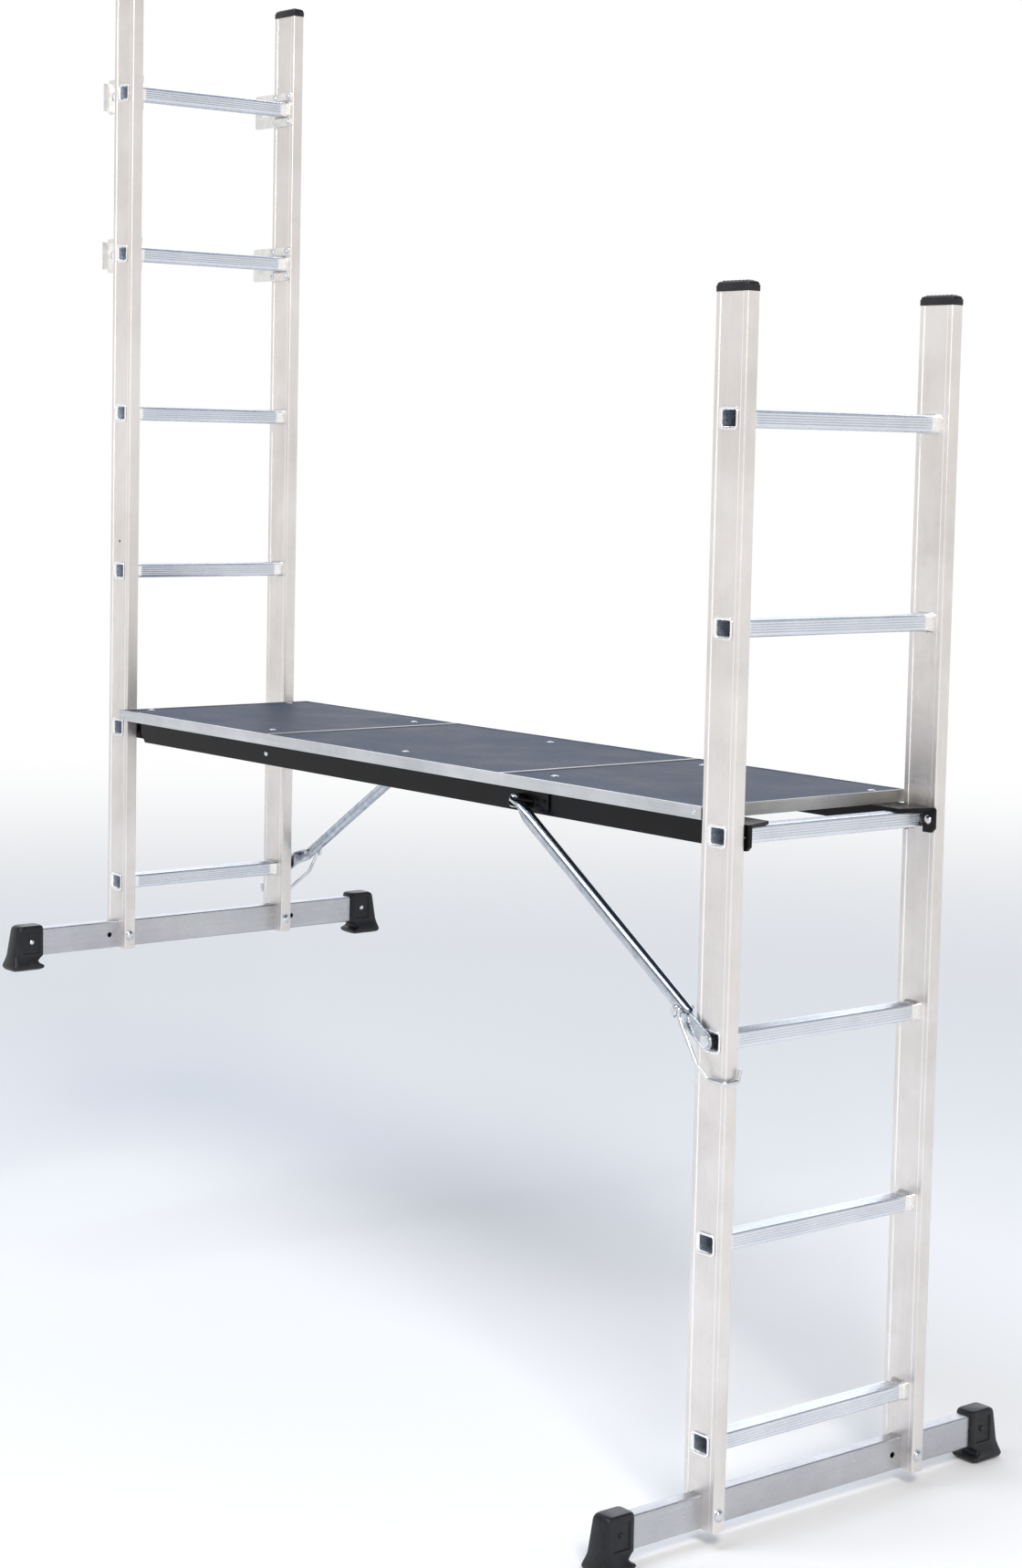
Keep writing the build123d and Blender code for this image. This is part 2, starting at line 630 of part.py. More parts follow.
for second, stile_face in ((False, wide_width / 2), (True, narrow_width / 2)):
    plate_line = stile_face + 6
    offset = hinge_line - plate_line            # how far the flat end steps inwards
    plate_start = flat_start + abs(offset)
    hinge_plane = Plane(origin=hinge, x_dir=level, z_dir=pin_up)

    with BuildPart() as bracket:
        with BuildSketch(Plane.XZ.offset(web_face)):
            with Locations((hinge_x + 21, web_bolt_z)):
                RectangleRounded(68, 28, 4)
            with Locations(*[(x, web_bolt_z) for x in near_bolts[1:]]):
                Circle(rivet_radius, mode=Mode.SUBTRACT)
        extrude(amount=bracket_thick)
        for low in (ear_gap, -ear_gap - ear_thick):
            with BuildSketch(hinge_plane.offset(low)):
                Circle(9)
                with Locations((6, hinge_line - web_face - bracket_thick / 2)):
                    Rectangle(28, bracket_thick)
                make_hull()
                Circle(hinge_pin_radius, mode=Mode.SUBTRACT)
            extrude(amount=ear_thick)
    write_brace_piece(bracket, "brace_bracket", second)

    with BuildPart() as hinge_pin:
        reach = ear_gap + ear_thick
        with BuildSketch(hinge_plane.offset(-reach - 2.5)):
            Circle(hinge_pin_radius)
        extrude(amount=2 * reach + 5)
        with BuildSketch(hinge_plane.offset(reach)):
            Circle(7)
        extrude(amount=2.5)
        with BuildSketch(hinge_plane.offset(-reach)):
            Circle(6)
        extrude(amount=-2.5)
    write_brace_piece(hinge_pin, "hinge_pin", second)

    tube_plane = Plane(origin=hinge + along * tube_start, x_dir=(0, 1, 0), z_dir=along)
    end_plane = Plane(origin=hinge + along * tube_stop, x_dir=(0, 1, 0), z_dir=along)
    flat_plane = Plane(origin=hinge + along * flat_start, x_dir=(0, 1, 0), z_dir=along)
    side_plane = Plane(origin=hinge, x_dir=along, z_dir=(sin(slope), 0, cos(slope)))
    with BuildPart() as brace:
        with BuildSketch(hinge_plane.offset(-eye_thick / 2)):
            Circle(9.5)
            with Locations((neck_start / 2, 0)):
                Rectangle(neck_start, 19)
        extrude(amount=eye_thick)
        with BuildSketch(Plane(origin=hinge + level * neck_start, x_dir=(0, 1, 0), z_dir=level)):
            RectangleRounded(19, eye_thick, 2.5)
        with BuildSketch(tube_plane):
            Circle(brace_radius)
        loft()
        with BuildSketch(tube_plane):
            Circle(brace_radius)
        extrude(amount=tube_stop - tube_start)
        with BuildSketch(end_plane):
            Circle(brace_radius)
        with BuildSketch(flat_plane):
            RectangleRounded(2 * plate_thick - 1, 2 * plate_half_width - 1, 2)
        loft()
        # flat end steps to the stile's face and ends round over the rung's opening
        with BuildSketch(side_plane):
            with BuildLine():
                Polyline(
                    (flat_start - 2, plate_thick),
                    (flat_start + 1, plate_thick),
                    (plate_start, offset + plate_thick / 2),
                    (brace_length, offset + plate_thick / 2),
                    (brace_length, offset - plate_thick / 2),
                    (plate_start - 1, offset - plate_thick / 2),
                    (flat_start, -plate_thick),
                    (flat_start - 2, -plate_thick),
                    close=True,
                )
            make_face()
        extrude(amount=plate_half_width, both=True)
        hook_point = hinge + along * brace_length + Vector(0, offset, 0)
        with BuildSketch(flat_plane_at(hook_point - Vector(0, plate_thick / 2, 0))):
            Circle(plate_half_width)
        extrude(amount=plate_thick)
        # bore of the tube
        with BuildSketch(tube_plane):
            Circle(brace_radius - brace_wall)
        extrude(amount=tube_stop - tube_start, mode=Mode.SUBTRACT)
        # holes for the hinge pin, the hook pin and the bail's pin
        with BuildSketch(hinge_plane.offset(-10)):
            Circle(hinge_pin_radius + 0.08)
        extrude(amount=20, mode=Mode.SUBTRACT)
        with Locations(flat_plane_at(hook_point)):
            Cylinder(hook_pin_radius - 1, 20, mode=Mode.SUBTRACT)
        with Locations(flat_plane_at(hinge + along * bail_pin_at)):
            Cylinder(3, 40, mode=Mode.SUBTRACT)
    write_brace_piece(brace, "brace_tube", second)

    with BuildPart() as pins:
        hook_inner = hook_point + Vector(0, plate_thick / 2, 0)
        with Locations(flat_plane_at(hook_inner)):
            Cylinder(hook_pin_radius, 16, align=(Align.CENTER, Align.CENTER, Align.MIN))
            Cylinder(hook_pin_radius - 1, plate_thick, align=(Align.CENTER, Align.CENTER, Align.MAX))
        with Locations(flat_plane_at(hook_inner - Vector(0, plate_thick, 0), -1)):
            Cone(9, 7, 2, align=(Align.CENTER, Align.CENTER, Align.MIN))
        pin_root = hinge + along * bail_pin_at
        with Locations(flat_plane_at(pin_root, -1)):
            Cylinder(3, 22.5, align=(Align.CENTER, Align.CENTER, Align.MIN))
            Cylinder(3, 13, align=(Align.CENTER, Align.CENTER, Align.MAX))
        for face, length, outer in ((-brace_radius - 2, 2, 5), (-22.5, 2, 5.5)):
            with Locations(flat_plane_at(pin_root + Vector(0, face, 0))):
                Cylinder(outer, length, align=(Align.CENTER, Align.CENTER, Align.MIN))
        with Locations(flat_plane_at(pin_root + Vector(0, brace_radius + 0.2, 0))):
            Cylinder(5, 2.5, align=(Align.CENTER, Align.CENTER, Align.MIN))
    write_brace_piece(pins, "brace_pins", second)

    # wire bail: an eye on its pin, a leg down across the stile, and an end bent round its edge
    pivot = pin_root + Vector(0, hinge_line - bail_line, 0)
    corner_x = right_x + stile_depth / 2 + bail_gap + bail_radius
    bail_z = hook_point.Z - bail_drop
    end_y = -(stile_face + bail_joggle)
    leg = (Vector(right_x, -bail_line, bail_z) - pivot).normalized()
    joggle = pivot + leg * (50 if second else 76)
    elbow = Vector(right_x, end_y, bail_z)
    corner = Vector(corner_x, end_y, bail_z)
    edge = Vector(corner_x, end_y + 24, bail_z + 1)
    tip = Vector(corner_x, end_y + 27, bail_z + 17)
    eye_radius = 3.3 + bail_radius
    start = pivot + leg * eye_radius
    with BuildPart() as bail:
        with BuildLine():
            FilletPolyline(start, joggle, elbow, corner, edge, tip, radius=6)
        with BuildSketch(Plane(origin=start, z_dir=leg)):
            Circle(bail_radius)
        sweep()
        with Locations(Plane(origin=pivot, z_dir=(0, 1, 0))):
            Torus(eye_radius, bail_radius)
    write_brace_piece(bail, "bail", second)
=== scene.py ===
import json
from math import asin, copysign, cos, pi, radians, sin, sqrt

import bmesh
import bpy
from mathutils import Matrix, Vector


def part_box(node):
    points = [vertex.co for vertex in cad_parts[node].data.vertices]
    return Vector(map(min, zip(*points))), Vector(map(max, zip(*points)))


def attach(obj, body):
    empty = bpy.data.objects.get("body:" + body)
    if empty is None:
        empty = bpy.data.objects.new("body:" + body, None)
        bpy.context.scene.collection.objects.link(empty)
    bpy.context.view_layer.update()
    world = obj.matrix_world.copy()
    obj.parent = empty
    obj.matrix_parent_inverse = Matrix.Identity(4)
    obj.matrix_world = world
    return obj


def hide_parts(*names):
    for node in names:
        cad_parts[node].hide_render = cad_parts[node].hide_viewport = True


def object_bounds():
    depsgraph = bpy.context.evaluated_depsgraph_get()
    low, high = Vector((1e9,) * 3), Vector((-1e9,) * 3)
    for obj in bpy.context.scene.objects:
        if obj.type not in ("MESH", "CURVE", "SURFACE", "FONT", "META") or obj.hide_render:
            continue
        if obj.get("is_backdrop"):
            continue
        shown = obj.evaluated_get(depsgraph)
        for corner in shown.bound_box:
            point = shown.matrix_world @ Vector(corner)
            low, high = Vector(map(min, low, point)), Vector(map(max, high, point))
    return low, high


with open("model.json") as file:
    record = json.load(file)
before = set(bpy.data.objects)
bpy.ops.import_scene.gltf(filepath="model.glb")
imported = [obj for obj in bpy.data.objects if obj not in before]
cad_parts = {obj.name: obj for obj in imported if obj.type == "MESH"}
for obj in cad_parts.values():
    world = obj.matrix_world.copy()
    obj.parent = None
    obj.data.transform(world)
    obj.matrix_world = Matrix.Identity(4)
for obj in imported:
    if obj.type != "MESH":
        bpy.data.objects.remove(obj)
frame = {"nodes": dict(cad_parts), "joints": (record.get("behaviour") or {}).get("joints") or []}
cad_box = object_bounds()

mm = 0.001


# ---- Camera and studio ----------------------------------------------------------------------------
# The camera stands off the near side of the low frame at about eye height and looks along the
# platform. The room is a pale floor that runs out of sight, under large soft lamps.
camera_data = bpy.data.cameras.new("camera")
camera_data.lens = 64.53
camera_data.shift_y = -0.058
camera = bpy.data.objects.new("camera", camera_data)
heading = Matrix.Rotation(radians(51.07), 4, "Z")
tilt = Matrix.Rotation(radians(90 - 5.04), 4, "X")
roll = Matrix.Rotation(radians(1.23), 4, "Z")
camera.matrix_world = Matrix.Translation((3.5626, -2.7809, 1.4999)) @ heading @ tilt @ roll
bpy.context.scene.collection.objects.link(camera)
bpy.context.scene.camera = camera
bpy.context.scene.view_settings.view_transform = "Standard"


def linear(text):
    """sRGB hex to linear red, green, blue and alpha."""
    parts = [int(text[i:i + 2], 16) / 255 for i in (1, 3, 5)]
    return [p / 12.92 if p <= 0.04045 else ((p + 0.055) / 1.055) ** 2.4 for p in parts] + [1]


def add(tree, kind, values=None, links=None, **settings):
    """Adds one node: its properties, its sockets' values, and the sockets that feed it."""
    made = tree.nodes.new(kind)
    for name, setting in settings.items():
        setattr(made, name, setting)
    for socket, value in (values or {}).items():
        made.inputs[socket].default_value = value
    for socket, source in (links or {}).items():
        tree.links.new(source, made.inputs[socket])
    return made


def new_material(name):
    """A material with a plain surface shader, and its tree, shader and object coordinates."""
    made = bpy.data.materials.new(name)
    made.use_nodes = True
    tree = made.node_tree
    tree.nodes.clear()
    surface = add(tree, "ShaderNodeBsdfPrincipled")
    add(tree, "ShaderNodeOutputMaterial", links={"Surface": surface.outputs[0]})
    return made, tree, surface, add(tree, "ShaderNodeTexCoord").outputs["Object"]


def lamp(name, place, aim, width, height, power, colour):
    """A soft rectangular lamp that the camera doesn't see."""
    data = bpy.data.lights.new(name, "AREA")
    data.shape = "RECTANGLE"
    data.size = width
    data.size_y = height
    data.energy = power
    data.color = linear(colour)[:3]
    made = bpy.data.objects.new(name, data)
    direction = Vector(aim) - Vector(place)
    made.matrix_world = Matrix.Translation(place) @ direction.to_track_quat("-Z", "Y").to_matrix().to_4x4()
    made.visible_camera = False
    bpy.context.scene.collection.objects.link(made)


lamp("key", (5.0, -2.6, 4.6), (0.2, 0, 0.9), 1.8, 1.8, 225, "#fff7ec")
lamp("overhead", (-0.1, -2.2, 4.8), (0.2, 0, 0.8), 2.2, 2.2, 90, "#eef3ff")

# the room's walls are bright, with a window behind the object, and its ceiling is darker, so that
# bright metal shows bands
world = bpy.data.worlds.new("studio")
bpy.context.scene.world = world
world.use_nodes = True
sky = world.node_tree
sky.nodes.clear()
direction = add(sky, "ShaderNodeTexCoord").outputs["Generated"]
height = add(sky, "ShaderNodeSeparateXYZ", links={0: direction}).outputs[2]
overhead = add(
    sky, "ShaderNodeMapRange", {"From Min": 0.12, "From Max": 0.6}, {"Value": height},
    interpolation_type="SMOOTHSTEP",
).outputs[0]
walls = add(
    sky, "ShaderNodeMix", {6: linear("#f7f5f3"), 7: linear("#7f8a9a")}, {0: overhead}, data_type="RGBA",
).outputs[2]
window_way = (-0.66, 0.66, 0.36)
window_glow = (1.55, 1.6, 1.7, 1)
behind = add(
    sky, "ShaderNodeVectorMath", {1: window_way}, {0: direction}, operation="DOT_PRODUCT",
).outputs["Value"]
window = add(
    sky, "ShaderNodeMapRange", {"From Min": 0.55, "From Max": 0.92, "To Max": 0.9}, {"Value": behind},
    interpolation_type="SMOOTHSTEP",
).outputs[0]
walls = add(
    sky, "ShaderNodeMix", {7: window_glow}, {0: window, 6: walls}, data_type="RGBA",
).outputs[2]
seen = add(sky, "ShaderNodeLightPath").outputs["Is Camera Ray"]
room = add(
    sky, "ShaderNodeMix", {7: linear("#ffffff")}, {0: seen, 6: walls}, data_type="RGBA",
).outputs[2]
light = add(sky, "ShaderNodeBackground", links={"Color": room})
add(sky, "ShaderNodeOutputWorld", links={"Surface": light.outputs[0]})

# the floor's paint catches less light towards the edge of the room, so it fades into a white glow
floor_paint, floor_tree, floor_surface, floor_place = new_material("matt_white_floor_paint")
floor_surface.inputs["Base Color"].default_value = linear("#fbfbfa")
floor_surface.inputs["Roughness"].default_value = 0.9
floor_surface.inputs["Specular IOR Level"].default_value = 0.2
away = add(floor_tree, "ShaderNodeVectorMath", links={0: floor_place}, operation="LENGTH").outputs["Value"]
glow = add(
    floor_tree, "ShaderNodeMapRange", {"From Min": 2.0, "From Max": 9.0}, {"Value": away},
    interpolation_type="SMOOTHSTEP",
).outputs[0]
lit = add(floor_tree, "ShaderNodeEmission")
faded = add(
    floor_tree, "ShaderNodeMixShader", links={0: glow, 1: floor_surface.outputs[0], 2: lit.outputs[0]},
)
floor_tree.links.new(faded.outputs[0], floor_tree.nodes["Material Output"].inputs["Surface"])
floor_reach = 60
floor_shape = bmesh.new()
bmesh.ops.create_grid(floor_shape, x_segments=1, y_segments=1, size=floor_reach)
floor_mesh = bpy.data.meshes.new("floor")
floor_shape.to_mesh(floor_mesh)
floor_shape.free()
floor_mesh.materials.append(floor_paint)
floor = bpy.data.objects.new("floor", floor_mesh)
bpy.context.scene.collection.objects.link(floor)
floor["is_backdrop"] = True


# ---- Stiles and stabiliser bars -------------------------------------------------------------------
# Hollow box extrusions of mill-finish aluminium, sawn to length and punched for the rungs. The die
# leaves fine lines along them, and handling leaves dull clouds and light scuffs.

# along the platform: the middle between the frames, a frame's distance from it, and the distance from
# a stile's middle to the inner edge of its raised bands, where the painted highlight line runs
frames_middle = 24 * mm
frame_distance = 800 * mm
band_edge = 22.2 * mm


def dress(tree, surface, colour, rough, normal):
    """Feeds a surface shader its colour, roughness and normal."""
    tree.links.new(colour, surface.inputs["Base Color"])
    tree.links.new(rough, surface.inputs["Roughness"])
    tree.links.new(normal, surface.inputs["Normal"])


def distance_from(tree, source, value):
    """How far a coordinate is from a value, on either side of it."""
    apart = add(tree, "ShaderNodeMath", {1: value}, {0: source}, operation="SUBTRACT").outputs[0]
    return add(tree, "ShaderNodeMath", links={0: apart}, operation="ABSOLUTE").outputs[0]


def mill_aluminium(name, clean, dull, along, roughness, streaks=0.25, bands=False):
    """Extruded aluminium, not polished: satin, lined along its length, cloudy with thin oxide. With
    bands, a painted highlight line runs along the raised bands' inner edges.
    """
    made, tree, surface, place = new_material(name)
    stretch = [0.012 if axis == along else 1 for axis in "XYZ"]
    drawn = add(tree, "ShaderNodeMapping", {"Scale": stretch}, {"Vector": place}).outputs[0]
    lines = add(
        tree, "ShaderNodeTexNoise", {"Scale": 1000 / 2.2, "Detail": 3}, {"Vector": drawn},
    ).outputs[0]
    clouds = add(
        tree, "ShaderNodeTexNoise", {"Scale": 1000 / 140, "Detail": 5, "Roughness": 0.62}, {"Vector": place},
    ).outputs[0]
    grain = add(
        tree, "ShaderNodeTexNoise", {"Scale": 1000 / 5, "Detail": 2}, {"Vector": place},
    ).outputs[0]
    slanted = add(
        tree, "ShaderNodeMapping", {"Scale": (1, 0.1, 0.4), "Rotation": (0.6, 0.5, 0.3)}, {"Vector": place},
    ).outputs[0]
    scratches = add(
        tree, "ShaderNodeTexNoise", {"Scale": 1000 / 9, "Detail": 4, "Roughness": 0.7}, {"Vector": slanted},
    ).outputs[0]
    scuffs = add(
        tree, "ShaderNodeMapRange", {"From Min": 0.64, "From Max": 0.72}, {"Value": scratches},
    ).outputs[0]
    mottle = add(
        tree, "ShaderNodeMath", {1: streaks}, {0: lines, 2: clouds}, operation="MULTIPLY_ADD",
    ).outputs[0]
    tone = add(
        tree, "ShaderNodeMapRange", {"From Min": 0.36 + streaks * 0.4, "From Max": 0.64 + streaks * 0.6},
        {"Value": mottle},
    ).outputs[0]
    colour = add(
        tree, "ShaderNodeMix", {6: linear(clean), 7: linear(dull)}, {0: tone}, data_type="RGBA",
    ).outputs[2]
    uneven = add(tree, "ShaderNodeMath", links={0: lines, 1: grain}, operation="ADD").outputs[0]
    worn = add(
        tree, "ShaderNodeMath", {1: 0.35}, {0: scuffs, 2: uneven}, operation="MULTIPLY_ADD",
    ).outputs[0]
    rough = add(
        tree, "ShaderNodeMapRange",
        {"From Min": 0.75, "From Max": 1.3, "To Min": roughness - 0.07, "To Max": roughness + 0.12},
        {"Value": worn},
    ).outputs[0]
    lined = add(
        tree, "ShaderNodeBump", {"Strength": 0.35, "Distance": 0.03 * mm}, {"Height": lines},
    ).outputs[0]
    grained = add(
        tree, "ShaderNodeBump", {"Strength": 0.25, "Distance": 0.05 * mm}, {"Height": grain, "Normal": lined},
    ).outputs[0]
    if bands:
        # a painted highlight along the inner edge of each raised edge band, for light on its fillet: the
        # distance from the middle between the frames, then from the stile's middle, then from that edge
        apart = add(tree, "ShaderNodeSeparateXYZ", links={0: place}).outputs[0]
        for value in (frames_middle, frame_distance, band_edge):
            apart = distance_from(tree, apart, value)
        bright = add(
            tree, "ShaderNodeMapRange", {"From Min": 1.3 * mm, "From Max": 0.5 * mm}, {"Value": apart},
        ).outputs[0]
        colour = add(
            tree, "ShaderNodeMix", {7: linear("#ffffff")}, {0: bright, 6: colour}, data_type="RGBA",
        ).outputs[2]
    surface.inputs["Metallic"].default_value = 1
    dress(tree, surface, colour, rough, grained)
    return made


def finish_node(name, material):
    """A CAD part keeps its shape and takes a finish."""
    mesh = frame["nodes"][name].data
    mesh.materials.clear()
    mesh.materials.append(material)


levels = ("lower", "upper")
sides = ("near", "far")
stile_aluminium = mill_aluminium("mill_finish_stile_aluminium_painted_band_highlight", "#ece8e5", "#ddd8d4", "Z", 0.38, 0.12, True)
bar_aluminium = mill_aluminium("mill_finish_bar_aluminium", "#c8c9cc", "#b9babf", "Y", 0.34, 0.15)
for level in levels:
    for side in sides:
        finish_node(f"{level}_stile_{side}", stile_aluminium)
    finish_node(f"{level}_bar", bar_aluminium)


# ---- Rungs ----------------------------------------------------------------------------------------
# Rectangular aluminium tubes with grip ribs along all four sides. Each end is upset to a collar
# inside the stile and flared over its outer face, which locks it there without a weld.
def skin(shape, rings, joined=False):
    """Joins rings of points into one closed surface; joined closes the last ring to the first."""
    rows = [[shape.verts.new(point) for point in ring] for ring in rings]
    pairs = list(zip(rows, rows[1:]))
    if joined:
        pairs.append((rows[-1], rows[0]))
    made = []
    for low, high in pairs:
        for i, corner in enumerate(low):
            j = (i + 1) % len(low)
            made.append(shape.faces.new((corner, low[j], high[j], high[i])))
    if not joined:
        made.append(shape.faces.new(rows[0]))
        made.append(shape.faces.new(rows[-1]))
    bmesh.ops.recalc_face_normals(shape, faces=made)
    return made


def piece(name, shape, sharp=35):
    """Turns a bmesh into an object with smooth faces and sharp edges past an angle."""
    mesh = bpy.data.meshes.new(name)
    shape.to_mesh(mesh)
    shape.free()
    for face in mesh.polygons:
        face.use_smooth = True
    mesh.set_sharp_from_angle(angle=radians(sharp))
    made = bpy.data.objects.new(name, mesh)
    bpy.context.scene.collection.objects.link(made)
    return made


def settle(made, material, body, slot, *nodes):
    """Gives a piece its material and body, and hides the CAD parts that it stands for; slot is not used."""
    made.data.materials.append(material)
    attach(made, body)
    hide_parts(*nodes)


rung_half_width = 14.4 * mm
rung_half_height = 11.9 * mm
rung_corner = 3.6 * mm
rung_rib = 0.5 * mm
rung_rib_pitch = 3.5 * mm
# place across a rib, in mm, and share of its height
rib_profile = ((-1.3, 0), (-0.7, 1), (0.7, 1), (1.3, 0))
# each side of a rung has five ribs and a corner, of four points each, and a groove between two ribs
rung_side_points = 24
groove_points = (3, 7, 11, 15)
stile_thick = 22 * mm
stile_recess = 0.8 * mm
# how far the flare stands off the stile, how far in from the stile the rung takes its painted highlight,
# and how far below the rung's surface that ends, in the bore
flare_stands = 1 * mm
highlight_reach = 14 * mm
bore_depth = 1.2 * mm


def rung_ring(x, y, z, grow, rib):
    """A rounded rectangle across a rung, grown outwards, with ribs of a given share of full height."""
    wide = rung_half_width + grow
    high = rung_half_height + grow
    corner = rung_corner + grow * 0.9
    points = []
    for quarter in range(4):
        out, along = (wide, high) if quarter % 2 == 0 else (high, wide)
        flat = []
        for count in range(-2, 3):
            middle = count * rung_rib_pitch
            for step, raised in rib_profile:
                flat.append((out + raised * rib * rung_rib, middle + step * mm))
        for step in range(4):
            angle = radians(12 + 22 * step)
            flat.append((out - corner + corner * cos(angle), along - corner + corner * sin(angle)))
        turn = Matrix.Rotation(quarter * pi / 2, 2)
        points += [turn @ Vector(point) for point in flat]
    return [(x + point.x, y, z + point.y) for point in points]


# distance outwards from the stile's inner face, growth, and share of rib height
collar_steps = (
    (-20, 0.0, 1), (-16, 0.1, 0), (-10, 0.5, 0), (-6, 1.2, 0), (-3, 2.1, 0), (-1, 2.5, 0),
    (0.0, 2.2, 0), (0.3, 0.2, 0),
)
# the same from the stile's outer face: the flare's back, crown and mouth, and the bore
flare_steps = (
    (-0.3, 0.2, 0), (0.0, 2.9, 0), (0.5, 3.7, 0), (1.2, 3.9, 0), (1.8, 3.4, 0), (2.1, 2.3, 0), (1.9, 1.1, 0),
    (1.2, 0.0, 0), (0.2, -0.8, 0), (-1.6, -1.3, 0),
)
rung_aluminium = mill_aluminium("ribbed_rung_aluminium", "#eaeef4", "#dce1e9", "Y", 0.32)
# the grooves between ribs take a darker copy: painted shade between the ribs
groove_shade_aluminium = mill_aluminium("painted_shade_groove_aluminium", "#d0d5dd", "#bec3cb", "Y", 0.45)
# the flares, and the rung near the stile, take a whiter, smoother copy: the whiter colour is painted
# highlight on the rounded ends
flare_highlight_aluminium = mill_aluminium("painted_highlight_flare_aluminium", "#ffffff", "#f2f1ef", "Y", 0.24)
for level in levels:
    for number in range(1, 7):
        node = f"{level}_rung_{number}"
        low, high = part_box(node)
        middle = (low + high) / 2
        outer_face = high.y - flare_stands - stile_recess
        inner_face = outer_face - stile_thick + 2 * stile_recess
        half = [(inner_face + out * mm, grow * mm, rib) for out, grow, rib in collar_steps]
        half += [(outer_face + out * mm, grow * mm, rib) for out, grow, rib in flare_steps]
        stations = half + [(-y, grow, rib) for y, grow, rib in reversed(half)]
        shape = bmesh.new()
        skin(shape, [rung_ring(middle.x, y, middle.z, grow, rib) for y, grow, rib in stations], joined=True)
        # faces near and past the stile take the painted highlight
        for index, face in enumerate(shape.faces):
            centre = face.calc_center_median()
            proud_x = abs(centre.x - middle.x) - rung_half_width
            proud_z = abs(centre.z - middle.z) - rung_half_height
            if abs(centre.y) > inner_face - highlight_reach and max(proud_x, proud_z) > -bore_depth:
                face.material_index = 1
            # the grooves between the ribs take the painted shade
            elif index % rung_side_points in groove_points:
                face.material_index = 2
        made = piece(f"flared_{node}", shape, 32)
        settle(made, rung_aluminium, "root", "rung_aluminium", node)
        made.data.materials.append(flare_highlight_aluminium)
        made.data.materials.append(groove_shade_aluminium)


# ---- Shoes and caps -------------------------------------------------------------------------------
# Charcoal polypropylene, moulded with a fine spark-eroded grain. Each shoe is a sleeve on the bar's
# end with a sunk panel on both sides, flared down to a foot that is paler along its bottom edge.
def moulded_plastic(name, fresh, rubbed, roughness):
    """Moulded polypropylene: a low soft gloss over fine grain, with paler rubbed patches."""
    made, tree, surface, place = new_material(name)
    grain = add(
        tree, "ShaderNodeTexNoise", {"Scale": 1000 / 1.4, "Detail": 2}, {"Vector": place},
    ).outputs[0]
    patches = add(
        tree, "ShaderNodeTexNoise", {"Scale": 1000 / 22, "Detail": 6, "Roughness": 0.7}, {"Vector": place},
    ).outputs[0]
    rub = add(tree, "ShaderNodeMapRange", {"From Min": 0.42, "From Max": 0.75}, {"Value": patches}).outputs[0]
    colour = add(
        tree, "ShaderNodeMix", {6: linear(fresh), 7: linear(rubbed)}, {0: rub}, data_type="RGBA",
    ).outputs[2]
    rough = add(
        tree, "ShaderNodeMapRange", {"To Min": roughness - 0.06, "To Max": roughness + 0.14},
        {"Value": patches},
    ).outputs[0]
    bump = add(
        tree, "ShaderNodeBump", {"Strength": 0.3, "Distance": 0.12 * mm}, {"Height": grain},
    ).outputs[0]
    surface.inputs["Specular IOR Level"].default_value = 0.35
    dress(tree, surface, colour, rough, bump)
    return made


def rounding(made, width, segments=2):
    """Rounds a piece's hard edges with a live bevel."""
    bevel = made.modifiers.new("rounding", "BEVEL")
    bevel.width = width
    bevel.segments = segments
    bevel.limit_method = "ANGLE"
    bevel.angle_limit = radians(32)


shoe_plastic = moulded_plastic("charcoal_polypropylene_shoe", "#131519", "#24262b", 0.34)
pale_sole_plastic = moulded_plastic("pale_polypropylene_sole", "#4a4b4b", "#6f6f6c", 0.6)
cap_plastic = moulded_plastic("black_polypropylene_cap", "#151417", "#262528", 0.34)
# height, inner end, outer end (from the sleeve's inner end) and half thickness of a shoe, in mm
shoe_levels = (
    (0.0, 8.0, 57.5, 14.5), (1.2, 5.5, 60.0, 19.0), (3.4, 2.2, 62.0, 22.6), (7.0, 0.6, 62.9, 24.0),
    (9.0, 2.4, 62.5, 23.8), (12.5, 9.6, 61.7, 22.5), (17.0, 11.4, 60.6, 20.4), (21.5, 6.0, 59.7, 18.5),
    (25.0, 0.4, 59.0, 17.3), (28.0, 0.0, 58.2, 17.0), (70.0, 0.0, 50.9, 16.6), (74.0, 0.3, 49.6, 16.4),
    (77.0, 1.4, 47.0, 15.6), (78.8, 4.0, 43.0, 13.6),
)
shoe_corner = 5 * mm
sole_height = 3 * mm
# the sunk panel's ends, the shortest sleeve that holds one, and the least height of one
panel_start = 8 * mm
panel_stop = 42 * mm
panel_room = 46 * mm
panel_height = 30 * mm


def shoe_ring(centre, inner, outward, row):
    """A rounded rectangle round the shoe at one height, with points at the sunk panel's sides."""
    up, start, stop, half = (value * mm for value in row)
    soft = min(shoe_corner, half * 0.4)
    first = max(panel_start, start + soft + mm)
    last = panel_stop if stop > panel_room else stop - soft - mm
    ys = (start + soft, first, last, stop - soft)
    points = [(half, y) for y in ys]
    points += [(half - soft * 0.3, stop - soft * 0.3), (half - soft, stop), (soft - half, stop)]
    points += [(soft * 0.3 - half, stop - soft * 0.3)]
    points += [(-half, y) for y in reversed(ys)]
    points += [(soft * 0.3 - half, start + soft * 0.3), (soft - half, start), (half - soft, start)]
    points += [(half - soft * 0.3, start + soft * 0.3)]
    return [(centre.x + px, inner + outward * py, centre.z + up) for px, py in points]


